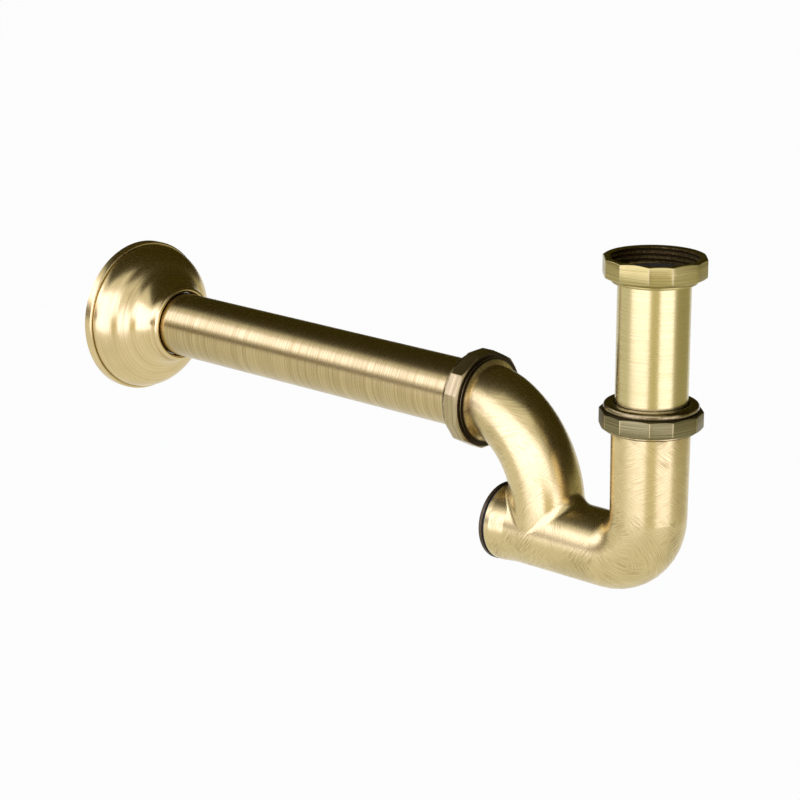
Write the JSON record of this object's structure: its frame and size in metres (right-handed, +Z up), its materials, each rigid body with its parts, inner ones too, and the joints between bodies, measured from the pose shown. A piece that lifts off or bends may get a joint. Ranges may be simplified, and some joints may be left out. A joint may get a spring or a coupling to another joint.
{
  "type": "basin trap",
  "caption": "Decorative brass P-trap for a washbasin, with a union nut, inlet tube, U-shaped trap body with a cleanout plug, wall tube and wall rosette.",
  "frame": {"origin": "centre of the union nut's mouth, where the basin waste screws in", "axes": "+Z up along the inlet tube, -X along the wall tube towards the wall"},
  "size_m": [0.3667, 0.0772, 0.1558],
  "materials": {
    "cast_brass": "antique satin, brushed by hand",
    "brushed_brass": "antique, brushed round its axis",
    "satin_brass": "antique satin",
    "patina_brass": "antique, darkened and brushed",
    "dark_bronze": "dark bronze patina",
    "black_rubber": "matte",
    "nylon": "matte"
  },
  "bodies": {
    "trap_body": {"trap_body": "cast_brass"},
    "inlet_seal": {"inlet_cone_seal": "black_rubber"},
    "inlet_tube": {"inlet_tube": "satin_brass", "union_washer": "black_rubber"},
    "union_nut": {"union_nut": "satin_brass"},
    "inlet_ring": {"inlet_friction_ring": "nylon"},
    "inlet_slip_nut": {"inlet_slip_nut": "patina_brass"},
    "outlet_seal": {"outlet_cone_seal": "black_rubber"},
    "wall_tube": {"wall_tube": "brushed_brass"},
    "wall_rosette": {"wall_rosette": "brushed_brass"},
    "outlet_ring": {"outlet_friction_ring": "nylon"},
    "outlet_slip_nut": {"outlet_slip_nut": "patina_brass"},
    "cleanout_gasket": {"cleanout_gasket": "black_rubber"},
    "cleanout_plug": {"cleanout_plug": "dark_bronze"}
  },
  "joints": [
    {"name": "inlet_swivel", "type": "hinge", "parent": "trap_body", "child": "inlet_seal", "pos_m": [0, 0, -0.07], "axis": [0, 0, 1], "continuous": true},
    {"name": "inlet_height", "type": "slide", "parent": "inlet_seal", "child": "inlet_tube", "axis": [0, 0, 1], "range_m": [-0.018, 0.015]},
    {"name": "union_nut_turn", "type": "hinge", "parent": "inlet_tube", "child": "union_nut", "pos_m": [0, 0, 0], "axis": [0, 0, 1], "continuous": true},
    {"name": "inlet_ring_lift", "type": "slide", "parent": "trap_body", "child": "inlet_ring", "axis": [0, 0, 1], "range_m": [0, 0.0056]},
    {"name": "inlet_nut_turn", "type": "hinge", "parent": "inlet_ring", "child": "inlet_slip_nut", "pos_m": [0, 0, -0.0764], "axis": [0, 0, 1], "range_deg": [0, 864]},
    {"name": "outlet_swivel", "type": "hinge", "parent": "trap_body", "child": "outlet_seal", "pos_m": [-0.1, 0, -0.0822], "axis": [1, 0, 0], "continuous": true},
    {"name": "wall_tube_slide", "type": "slide", "parent": "outlet_seal", "child": "wall_tube", "axis": [1, 0, 0], "range_m": [-0.004, 0.0005]},
    {"name": "rosette_slide", "type": "slide", "parent": "wall_tube", "child": "wall_rosette", "axis": [1, 0, 0], "range_m": [0, 0.185]},
    {"name": "outlet_ring_shift", "type": "slide", "parent": "trap_body", "child": "outlet_ring", "axis": [-1, 0, 0], "range_m": [0, 0.0056]},
    {"name": "outlet_nut_turn", "type": "hinge", "parent": "outlet_ring", "child": "outlet_slip_nut", "pos_m": [-0.0938, 0, -0.0822], "axis": [-1, 0, 0], "range_deg": [0, 864]},
    {"name": "gasket_shift", "type": "slide", "parent": "trap_body", "child": "cleanout_gasket", "axis": [-1, 0, 0], "range_m": [0, 0.007]},
    {"name": "plug_turn", "type": "hinge", "parent": "cleanout_gasket", "child": "cleanout_plug", "pos_m": [-0.0808, 0, -0.1376], "axis": [-1, 0, 0], "range_deg": [0, 1080]}
  ],
  "couplings": [
    {"joint": "inlet_ring_lift", "follows": "inlet_nut_turn", "m_per_rad": 0.00036749},
    {"joint": "outlet_ring_shift", "follows": "outlet_nut_turn", "m_per_rad": 0.00036749},
    {"joint": "gasket_shift", "follows": "plug_turn", "m_per_rad": 0.00036749}
  ]
}
